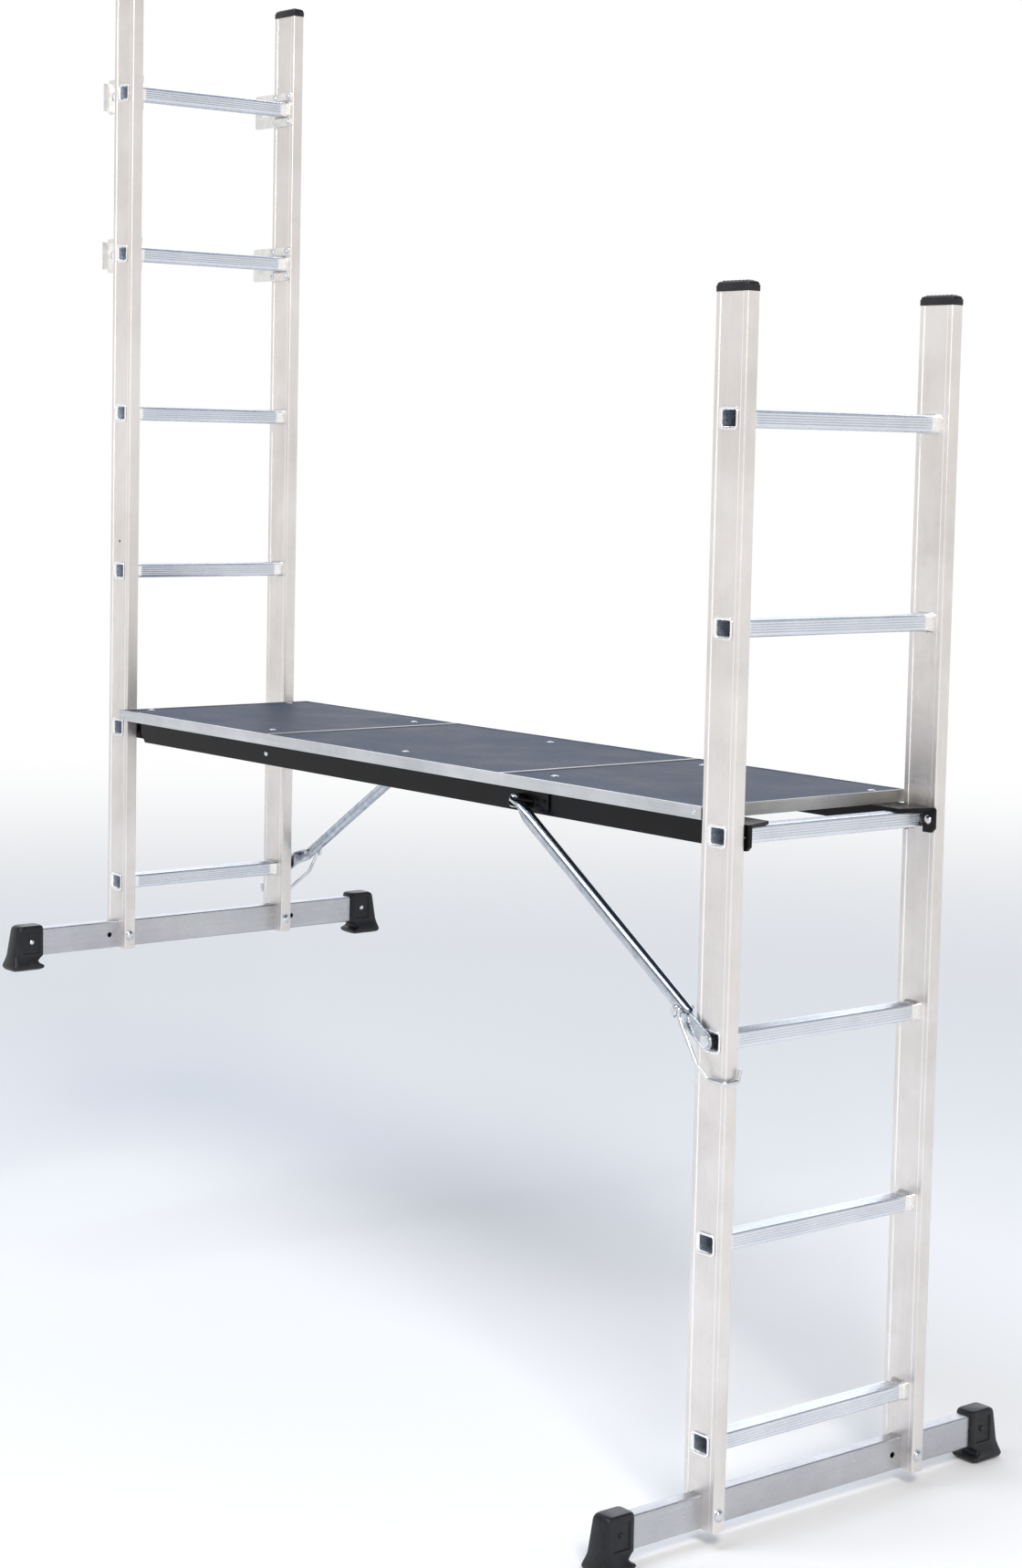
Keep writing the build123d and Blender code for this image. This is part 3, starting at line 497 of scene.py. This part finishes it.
for level in levels:
    for side, outward in zip(sides, (-1, 1)):
        node = f"{level}_shoe_{side}"
        low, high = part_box(node)
        inner = high.y if outward < 0 else low.y
        base = Vector(((low.x + high.x) / 2, 0, low.z))
        shape = bmesh.new()
        skin(shape, [shoe_ring(base, inner, outward, row) for row in shoe_levels])
        panels = []
        for face in shape.faces:
            middle = face.calc_center_median() - base
            along = (middle.y - inner) * outward
            tall = max(v.co.z for v in face.verts) - min(v.co.z for v in face.verts)
            if tall > panel_height and panel_start < along < panel_stop and abs(face.normal.x) > 0.9:
                panels.append(face)
            # the bottom 3 mm of the foot takes the paler colour
            face.material_index = 1 if middle.z < sole_height else 0
        bmesh.ops.inset_individual(shape, faces=panels, thickness=2 * mm, depth=0)
        bmesh.ops.inset_individual(shape, faces=panels, thickness=1 * mm, depth=-2 * mm)
        made = piece(f"moulded_{node}", shape, 40)
        rounding(made, 0.8 * mm)
        settle(made, shoe_plastic, "root", "shoe_plastic", node)
        made.data.materials.append(pale_sole_plastic)


def rounded_ring(low, high, z, inset, corner):
    """A rounded rectangle in a level plane, inset from a box's sides."""
    half = (high - low) / 2
    middle = (low + high) / 2
    points = []
    for quarter, (sx, sy) in enumerate(((1, 1), (-1, 1), (-1, -1), (1, -1))):
        cx = middle.x + sx * (half.x - inset - corner)
        cy = middle.y + sy * (half.y - inset - corner)
        for step in range(5):
            angle = (quarter + step / 4) * pi / 2
            points.append((cx + corner * cos(angle), cy + corner * sin(angle), z))
    return points


cap_plug = 18 * mm
# height above the stile's top, and inset from the stile's outline, in mm
cap_steps = (
    (-2, 1.0), (0.1, 0.9), (0.1, -0.5), (8.0, -0.6), (8.5, 0.1), (9.3, 0.2), (11.6, 0.9), (13, 2.6),
    (13.8, 5.6),
)
# grip ridges over the cap: pitch, place along the ridge and share of its size, points round it
ridge_pitch = 7.4 * mm
ridge_ends = ((-7.4, 0.4), (-6.6, 0.8), (-5, 1), (5, 1), (6.6, 0.8), (7.4, 0.4))
ridge_turns = (0, 0.6, 1.2, 1.94, 2.54, pi, 4.2, 5.2)
for level in levels:
    for side in sides:
        node = f"{level}_cap_{side}"
        low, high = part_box(node)
        top = low.z + cap_plug
        middle = (low + high) / 2
        shape = bmesh.new()
        skin(shape, [rounded_ring(low, high, top + up * mm, inset * mm, 2.4 * mm) for up, inset in cap_steps])
        for number in range(7):
            x = middle.x + (number - 3) * ridge_pitch
            ridge = []
            for y, size in ridge_ends:
                arc = [(2.2 * cos(a) * size, 1.8 * sin(a) * size) for a in ridge_turns]
                ridge.append([(x + u * mm, middle.y + y * mm, top + (13 + v) * mm) for u, v in arc])
            skin(shape, ridge)
        settle(piece(f"moulded_{node}", shape), cap_plastic, "root", "cap_plastic", node)


# ---- Fasteners ------------------------------------------------------------------------------------
# Bright zinc-plated steel: domed bolts with nuts at the frames' feet, rivets in the upper frame's shoes
# and the platform, and small bolts at the guide brackets and the platform's angles.
def zinc_plate(name, bright, dull, roughness):
    """Electroplated zinc, passivated blue: a cool bright metal with faint cloudy patches."""
    made, tree, surface, place = new_material(name)
    clouds = add(
        tree, "ShaderNodeTexNoise", {"Scale": 1000 / 18, "Detail": 5, "Roughness": 0.65}, {"Vector": place},
    ).outputs[0]
    grain = add(
        tree, "ShaderNodeTexNoise", {"Scale": 1000 / 2, "Detail": 2}, {"Vector": place},
    ).outputs[0]
    tone = add(tree, "ShaderNodeMapRange", {"From Min": 0.35, "From Max": 0.7}, {"Value": clouds}).outputs[0]
    colour = add(
        tree, "ShaderNodeMix", {6: linear(bright), 7: linear(dull)}, {0: tone}, data_type="RGBA",
    ).outputs[2]
    rough = add(
        tree, "ShaderNodeMapRange", {"To Min": roughness - 0.05, "To Max": roughness + 0.12},
        {"Value": clouds},
    ).outputs[0]
    bump = add(
        tree, "ShaderNodeBump", {"Strength": 0.15, "Distance": 0.08 * mm}, {"Height": grain},
    ).outputs[0]
    surface.inputs["Metallic"].default_value = 1
    dress(tree, surface, colour, rough, bump)
    return made


def joined_copy(node):
    """A CAD part's mesh as a bmesh, with its loose triangles joined."""
    source = frame["nodes"][node].data
    shape = bmesh.new()
    corners = [shape.verts.new(vertex.co) for vertex in source.vertices]
    for face in source.polygons:
        shape.faces.new([corners[i] for i in face.vertices])
    bmesh.ops.remove_doubles(shape, verts=shape.verts, dist=0.01 * mm)
    return shape


def boxes_of(node):
    """Lowest and highest corner of each separate solid in a CAD part."""
    shape = joined_copy(node)
    left = set(shape.verts)
    found = []
    while left:
        reached = [left.pop()]
        for vertex in reached:
            for edge in vertex.link_edges:
                other = edge.other_vert(vertex)
                if other in left:
                    left.remove(other)
                    reached.append(other)
        low = Vector(min(v.co[axis] for v in reached) for axis in range(3))
        high = Vector(max(v.co[axis] for v in reached) for axis in range(3))
        found.append((low, high))
    shape.free()
    return sorted(found, key=lambda pair: tuple(pair[0]))


def turned(shape, seat, outward, profile, count=24):
    """Adds a turned shape: (radius, height) pairs in mm, with heights along outward from seat."""
    outward = Vector(outward)
    across = outward.orthogonal().normalized()
    beside = outward.cross(across)
    rings = []
    for radius, height in profile:
        centre = Vector(seat) + outward * height * mm
        angles = [2 * pi * step / count for step in range(count)]
        rings.append([centre + (across * cos(a) + beside * sin(a)) * radius * mm for a in angles])
    return skin(shape, rings)


def dome(radius, height):
    """A low domed head with a short rim."""
    curve = [(cos(radians(a)), sin(radians(a))) for a in (14, 32, 50, 68, 84)]
    return [(radius * 0.97, 0), (radius, height * 0.12)] + [(radius * c, height * s) for c, s in curve]


def shank(radius, length):
    """A plain shank below a head, with a chamfered end."""
    return [(radius * 0.8, -length), (radius, -length + 0.6), (radius, 0)]


def washer_head(radius, thick, head_radius, head_height):
    """A flat washer or flange with a domed head on it."""
    return [(radius, 0), (radius, thick)] + dome(head_radius, head_height)[1:]


zinc_steel = zinc_plate("bright_zinc_plated_steel", "#e6e8ea", "#c6c9cd", 0.22)
nut_profile = ((6.7, 0), (7.5, 0.7), (7.5, 5.8), (6.7, 6.5))
# fasteners that share a CAD part are told apart by size, and each of these is a least size
through_bolt = 40 * mm
nut_thickness = 6.2 * mm
through_rivet = 12 * mm
web_bolt_head = 10 * mm
for level in levels:
    node = f"{level}_bar_fasteners"
    bar_low, bar_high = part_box(f"{level}_bar")
    shape = bmesh.new()
    for low, high in boxes_of(node):
        middle = (low + high) / 2
        if high.x - low.x > through_bolt:
            seat = (high.x - 5 * mm, middle.y, middle.z)
            head = [(9.5, 0), (9.5, 0.9), (8.2, 1.0)] + dome(7.8, 5)[1:]
            turned(shape, seat, (1, 0, 0), shank(4, 72) + head)
        elif high.x - low.x > nut_thickness:
            turned(shape, (high.x, middle.y, middle.z), (-1, 0, 0), nut_profile, 6)
        else:
            facing = copysign(1, middle.x - (bar_low.x + bar_high.x) / 2)
            seat = ((high.x if facing > 0 else low.x) - facing * 1.4 * mm, middle.y, middle.z)
            faces = turned(shape, seat, (facing, 0, 0), shank(2.4, 4.4) + dome(4.3, 1.9))
            for face in faces:
                face.material_index = int(level == "lower")
    made = piece(f"domed_{node}", shape)
    settle(made, zinc_steel, "root", "zinc_steel", node)
    made.data.materials.append(shoe_plastic)

# a small raised mark on the lower bar's outer face
bar_low, bar_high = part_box("lower_bar")
mark_y = -240 * mm
shape = bmesh.new()
turned(shape, (bar_high.x - 0.4 * mm, mark_y, (bar_low.z + bar_high.z) / 2), (1, 0, 0), dome(4, 1.1))
settle(piece("punched_bar_mark", shape), bar_aluminium, "root", "bar_aluminium")

shape = bmesh.new()
for low, high in boxes_of("deck_rivets"):
    middle = (low + high) / 2
    if high.z - low.z > through_rivet:
        seat = (middle.x, middle.y, high.z - 1.6 * mm)
        turned(shape, seat, (0, 0, 1), shank(2.4, 21) + washer_head(6.2, 0.4, 5.2, 1.9))
    else:
        facing = copysign(1, middle.y)
        seat = (middle.x, low.y if facing > 0 else high.y, middle.z)
        turned(shape, seat, (0, facing, 0), dome(4, 1.6))
settle(piece("domed_deck_rivets", shape), zinc_steel, "root", "zinc_steel", "deck_rivets")

# the brackets' rivets were enamelled with them, and the angles' bolts were left bright
bracket_spans = [[corner.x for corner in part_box(f"{side}_brace_bracket")] for side in sides]
shape = bmesh.new()
for low, high in boxes_of("frame_fasteners"):
    middle = (low + high) / 2
    facing = copysign(1, middle.y)
    before = len(shape.faces)
    if high.x - low.x > web_bolt_head:
        seat = (middle.x, (low.y if facing > 0 else high.y) + facing * 3.5 * mm, middle.z)
        turned(shape, seat, (0, -facing, 0), shank(2.4, 5) + washer_head(6.4, 1, 5.6, 3.5))
    else:
        seat = (middle.x, (high.y if facing > 0 else low.y) - facing * 2.5 * mm, middle.z)
        turned(shape, seat, (0, facing, 0), shank(2.4, 8) + dome(4.5, 2.5))
    shape.faces.ensure_lookup_table()
    if any(start < middle.x < stop for start, stop in bracket_spans):
        for face in shape.faces[before:]:
            face.material_index = 1
frame_bolts = piece("domed_frame_fasteners", shape)
settle(frame_bolts, zinc_steel, "root", "zinc_steel", "frame_fasteners")

shape = bmesh.new()
for low, high in boxes_of("guide_bolts"):
    middle = (low + high) / 2
    facing = copysign(1, middle.y)
    seat = (middle.x, (low.y if facing > 0 else high.y) + facing * 3 * mm, middle.z)
    turned(shape, seat, (0, -facing, 0), shank(2.4, 3) + dome(4.6, 3))
settle(piece("domed_guide_bolts", shape), zinc_steel, "root", "zinc_steel", "guide_bolts")


# ---- Platform: panels, edge channels and joint strips --------------------------------------------
# Birch plywood faced with dark phenolic film, pressed with a fine anti-slip mesh. Thin aluminium
# channels are folded round its edges and along the two joints.
def filmed_plywood(name):
    """Phenolic film on plywood: dark slate, low gloss, with a pressed mesh and foot-worn patches."""
    made, tree, surface, place = new_material(name)
    mesh_print = add(
        tree, "ShaderNodeTexVoronoi", {"Scale": 1000 / 4.5}, {"Vector": place},
    ).outputs["Distance"]
    grain = add(
        tree, "ShaderNodeTexNoise", {"Scale": 1000 / 3.2, "Detail": 3, "Roughness": 0.7}, {"Vector": place},
    ).outputs[0]
    wear = add(
        tree, "ShaderNodeTexNoise", {"Scale": 1000 / 130, "Detail": 6, "Roughness": 0.65}, {"Vector": place},
    ).outputs[0]
    tone = add(tree, "ShaderNodeMath", links={0: wear, 1: grain}, operation="ADD").outputs[0]
    share = add(tree, "ShaderNodeMapRange", {"From Min": 0.72, "From Max": 1.28}, {"Value": tone}).outputs[0]
    colour = add(
        tree, "ShaderNodeMix", {6: linear("#2a313f"), 7: linear("#4a5364")}, {0: share}, data_type="RGBA",
    ).outputs[2]
    rough = add(
        tree, "ShaderNodeMapRange", {"From Min": 0.3, "From Max": 0.7, "To Min": 0.42, "To Max": 0.6},
        {"Value": wear},
    ).outputs[0]
    pressed = add(
        tree, "ShaderNodeBump", {"Strength": 0.4, "Distance": 0.25 * mm}, {"Height": mesh_print},
    ).outputs[0]
    grained = add(
        tree, "ShaderNodeBump", {"Strength": 0.35, "Distance": 0.2 * mm},
        {"Height": grain, "Normal": pressed},
    ).outputs[0]
    surface.inputs["Specular IOR Level"].default_value = 0.06
    dress(tree, surface, colour, rough, grained)
    return made


def softened(node, material, slot, width, body="root"):
    """A CAD part's shape with its hard edges rounded, standing for that part."""
    shape = joined_copy(node)
    bmesh.ops.dissolve_limit(shape, angle_limit=radians(1), verts=shape.verts, edges=shape.edges)
    made = piece(f"shaped_{node}", shape)
    rounding(made, width)
    settle(made, material, body, slot, node)


film_plywood = filmed_plywood("phenolic_film_faced_plywood")
for number in (1, 2, 3):
    finish_node(f"deck_panel_{number}", film_plywood)
channel_aluminium = mill_aluminium("edge_channel_aluminium", "#d9dcdf", "#c4c7ca", "X", 0.36)
end_aluminium = mill_aluminium("end_channel_aluminium", "#b9b8b6", "#a09f9e", "Y", 0.42)
for side in sides:
    softened(f"deck_trim_{side}", channel_aluminium, "trim_aluminium", 0.35 * mm)
for end in ("left", "right"):
    softened(f"deck_trim_{end}", end_aluminium, "trim_aluminium", 0.35 * mm)
for number in (1, 2):
    softened(f"joint_strip_{number}", end_aluminium, "trim_aluminium", 0.3 * mm)


# ---- Platform: angles, hooks, cross members and brace brackets -----------------------------------
# Folded and cut steel, stove-enamelled black. The enamel is thick and glossy, slightly wavy, and
# dusty where nothing rubs it.
def black_enamel(name):
    """Stove enamel on steel: near black, glossy, with orange peel and a film of pale dust."""
    made, tree, surface, place = new_material(name)
    peel = add(tree, "ShaderNodeTexNoise", {"Scale": 1000 / 4, "Detail": 1}, {"Vector": place}).outputs[0]
    dust = add(
        tree, "ShaderNodeTexNoise", {"Scale": 1000 / 60, "Detail": 7, "Roughness": 0.7}, {"Vector": place},
    ).outputs[0]
    share = add(tree, "ShaderNodeMapRange", {"From Min": 0.4, "From Max": 0.8}, {"Value": dust}).outputs[0]
    colour = add(
        tree, "ShaderNodeMix", {6: linear("#08080a"), 7: linear("#161619")}, {0: share}, data_type="RGBA",
    ).outputs[2]
    rough = add(
        tree, "ShaderNodeMapRange", {"To Min": 0.24, "To Max": 0.46}, {"Value": dust},
    ).outputs[0]
    bump = add(
        tree, "ShaderNodeBump", {"Strength": 0.25, "Distance": 0.1 * mm}, {"Height": peel},
    ).outputs[0]
    surface.inputs["Specular IOR Level"].default_value = 0.2
    dress(tree, surface, colour, rough, bump)
    return made


black_steel = black_enamel("black_stove_enamel")
frame_bolts.data.materials.append(black_steel)
for side in sides:
    softened(f"platform_angle_{side}", black_steel, "black_steel", 0.7 * mm)
    softened(f"platform_hook_{side}", black_steel, "black_steel", 0.7 * mm)
    softened(f"{side}_brace_bracket", black_steel, "black_steel", 0.4 * mm)
for number in (1, 2):
    softened(f"cross_member_{number}", black_steel, "black_steel", 0.5 * mm)


# ---- Guide brackets -------------------------------------------------------------------------------
# Pressed zinc-plated steel plates inside the narrow frame's stiles. A slotted ear runs past each
# stile and turns outwards, to hold the wide frame when the two are nested.
# the plates' near-white colour is partly painted light: zinc plate lifted to stand in for light that the
# stiles' shade keeps off them
guide_steel = zinc_plate("dull_zinc_plated_steel_painted_light", "#f3f3f1", "#dcdcda", 0.36)
for number in (5, 6):
    for side in sides:
        softened(f"guide_{number}_{side}", guide_steel, "guide_steel", 0.5 * mm)


# ---- Braces ---------------------------------------------------------------------------------------
# Bright zinc-plated steel tubes. The upper end is pressed flat to an eye on a leaning pin, and the
# lower end is pressed flat, stepped to the stile's face, and carries the pin that hooks the rung.
brace_steel = zinc_plate("polished_zinc_plated_tube", "#ced4db", "#a6adb6", 0.11)
# lengths along the brace from its hinge, and the flattened lower end's half thickness and half width,
# all in mm
brace_length = 515.6
tube_stop = brace_length - 58
flat_start = brace_length - 52
plate_half = 2.5
plate_reach = 12
# turned profiles of the pins, as (radius, height) in mm
hinge_pin_profile = (
    (6, -9.1), (6.2, -8.6), (6.2, -6.6), (4, -6.6), (4, 6.6), (7, 6.6), (7.2, 7.2), (5.6, 8.6), (2, 9.1),
)
hook_pin_profile = (
    (4.6, -18.5), (6, -17.2), (6, -2.5), (6, 2.5), (8.8, 2.5), (9, 3), (8.6, 4), (7, 4.5),
)
bail_pin_profile = (
    (2.4, -13), (3, -12.6), (3, -12.3), (5, -12.3), (5, -10.2), (3, -10.2), (3, 10), (5, 10), (5, 12),
    (3, 12), (3, 20.6), (5.4, 20.6), (5.6, 21.2), (5.2, 22.2), (3, 22.8),
)
# the bail's wire, its eye, its bends, and how far it stands off the stile
wire_radius = 3 * mm
wire_eye_radius = 6.3 * mm
wire_bend = 7 * mm
eye_stands = 17.3 * mm
wire_stands = 5.5 * mm
wire_past_stile = 36 * mm
joggles = {"near": 76 * mm, "far": 50 * mm}


def oval(centre, wide, thin, square, count=28):
    """A ring round centre; wide and thin are half-width vectors, and square flattens its sides."""
    points = []
    for step in range(count):
        c, s = cos(2 * pi * step / count), sin(2 * pi * step / count)
        points.append(centre + wide * copysign(abs(c) ** square, c) + thin * copysign(abs(s) ** square, s))
    return points


def smooth(value, start, stop):
    """0 before start, 1 after stop, and an even curve between."""
    share = min(max((value - start) / (stop - start), 0), 1)
    return share * share * (3 - 2 * share)


joints = {joint["name"]: joint for joint in frame["joints"]}
for side, level in zip(sides, levels):
    hinge = Vector(joints[f"{side}_brace_swing"]["pos_m"])
    pin_up = -Vector(joints[f"{side}_brace_swing"]["axis"]).normalized()
    toward = copysign(1, pin_up.x)
    outward = copysign(1, hinge.y)
    lean = asin(abs(pin_up.x))
    along = Vector((toward * cos(2 * lean), 0, -sin(2 * lean)))
    eye_way = Vector((toward * cos(lean), 0, -sin(lean)))
    across = Vector((toward * sin(2 * lean), 0, cos(2 * lean)))
    stile_low, stile_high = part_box(f"{level}_stile_{side}")
    stile_face = max(abs(stile_low.y), abs(stile_high.y))
    step_out = (stile_face + 6 * mm - abs(hinge.y)) / mm
    # along the brace, outward step, half width across Y, half width across the brace, squareness
    stations = []
    for s, half_y in ((-8.4, 1.5), (-7.6, 3.8), (-5.6, 6.0), (-3, 7.4), (0, 8.0)):
        stations.append((s, 0, half_y, 3 if s > -8 else 2.4, 0.4))
    stations += [(14, 0, 8.4, 3, 0.4), (22, 0, 9.2, 4.4, 0.6), (32, 0, 10, 7.6, 0.85), (42, 0, 10, 10, 1)]
    stations += [(120, 0, 10, 10, 1), (300, 0, 10, 10, 1), (tube_stop, 0, 10, 10, 1)]
    pressed = ((0, 7, 11, 0.85), (0.4, 4.6, 11.7, 0.6), (0.75, 3.1, 12, 0.45), (1, 2.6, 12, 0.4))
    for share, half_y, half_across, square in pressed:
        s = flat_start + abs(step_out) * share
        stations.append((s, step_out * smooth(share, -0.1, 1), half_y, half_across, square))
    for s in (0, 4, 7.5, 10, 11.6):
        stations.append((brace_length + s, step_out, plate_half, sqrt(plate_reach ** 2 - s ** 2), 0.4))
    rings = []
    for s, step, half_y, half_across, square in stations:
        share = smooth(s, 8, 40)
        direction = eye_way.lerp(along, share)
        upright = pin_up.lerp(across, share).normalized()
        centre = hinge + direction * s * mm + Vector((0, outward * step * mm, 0))
        rings.append(oval(centre, Vector((0, half_y * mm, 0)), upright * half_across * mm, square))
    shape = bmesh.new()
    skin(shape, rings)
    tube = piece(f"pressed_{side}_brace_tube", shape, 45)
    settle(tube, brace_steel, f"{side}_brace", "brace_steel", f"{side}_brace_tube")

    # hinge pin with its two headed ends
    shape = bmesh.new()
    turned(shape, hinge, pin_up, hinge_pin_profile)
    settle(piece(f"turned_{side}_hinge_pin", shape), zinc_steel, "root", "zinc_steel", f"{side}_hinge_pin")

    # hook pin with a flat pressed head, and the bail's pin with washers
    away = Vector((0, outward, 0))
    hook = hinge + along * brace_length * mm + away * step_out * mm
    pivot = Vector(joints[f"{side}_bail_pivot"]["pos_m"])
    shape = bmesh.new()
    turned(shape, hook, away, hook_pin_profile)
    turned(shape, pivot, away, bail_pin_profile)
    pins = piece(f"turned_{side}_brace_pins", shape)
    settle(pins, zinc_steel, f"{side}_brace", "zinc_steel", f"{side}_brace_pins")

    # bail of 6 mm spring wire: an eye round its pin, a leg with a joggle, and an end that runs past
    # the stile, across its narrow face and up
    bail_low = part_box(f"{side}_bail")[0]
    eye_y = hinge.y + outward * eye_stands
    stile_y = outward * (stile_face + wire_stands)
    foot_z = bail_low.z + wire_radius
    stile_x = (stile_low.x + stile_high.x) / 2
    edge_x = stile_x + toward * wire_past_stile
    wire_eye = Vector((pivot.x, eye_y, pivot.z))
    leg = Vector((stile_x - pivot.x, 0, foot_z - pivot.z)).normalized()
    path = []
    for step in range(11):
        turned_leg = Matrix.Rotation(radians(30 * step + 35) * toward, 3, "Y") @ leg
        rise = Vector((0, outward * (10 - step) * 0.15 * mm, 0))
        path.append(wire_eye + turned_leg * wire_eye_radius + rise)
    path += [wire_eye + leg * 12 * mm, wire_eye + leg * (joggles[side] - 8 * mm)]
    turn = wire_eye + leg * joggles[side]
    elbow = Vector((stile_x, stile_y, foot_z))
    corner = Vector((edge_x, stile_y, foot_z))
    back = Vector((edge_x, stile_y - outward * 24 * mm, foot_z + mm))
    tip = Vector((edge_x, stile_y - outward * 27 * mm, foot_z + 17 * mm))
    for bend, after in ((turn, elbow), (elbow, corner), (corner, back), (back, tip)):
        behind_bend = bend + (path[-1] - bend).normalized() * wire_bend
        path += [behind_bend, bend, bend + (after - bend).normalized() * wire_bend]
    path.append(tip)
    wire = bpy.data.curves.new(f"bent_{side}_bail", "CURVE")
    wire.dimensions = "3D"
    wire.bevel_depth = wire_radius
    wire.bevel_resolution = 4
    wire.use_fill_caps = True
    run = wire.splines.new("NURBS")
    run.points.add(len(path) - 1)
    for point, place in zip(run.points, path):
        point.co = (*place, 1)
    run.order_u = 3
    run.use_endpoint_u = True
    run.resolution_u = 6
    bail = bpy.data.objects.new(f"bent_{side}_bail", wire)
    bpy.context.scene.collection.objects.link(bail)
    settle(bail, zinc_steel, f"{side}_bail", "zinc_steel", f"{side}_bail")

# the box of the object as its CAD solids and as it is seen
size = {"cad": [list(corner) for corner in cad_box], "visual": [list(corner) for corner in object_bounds()]}
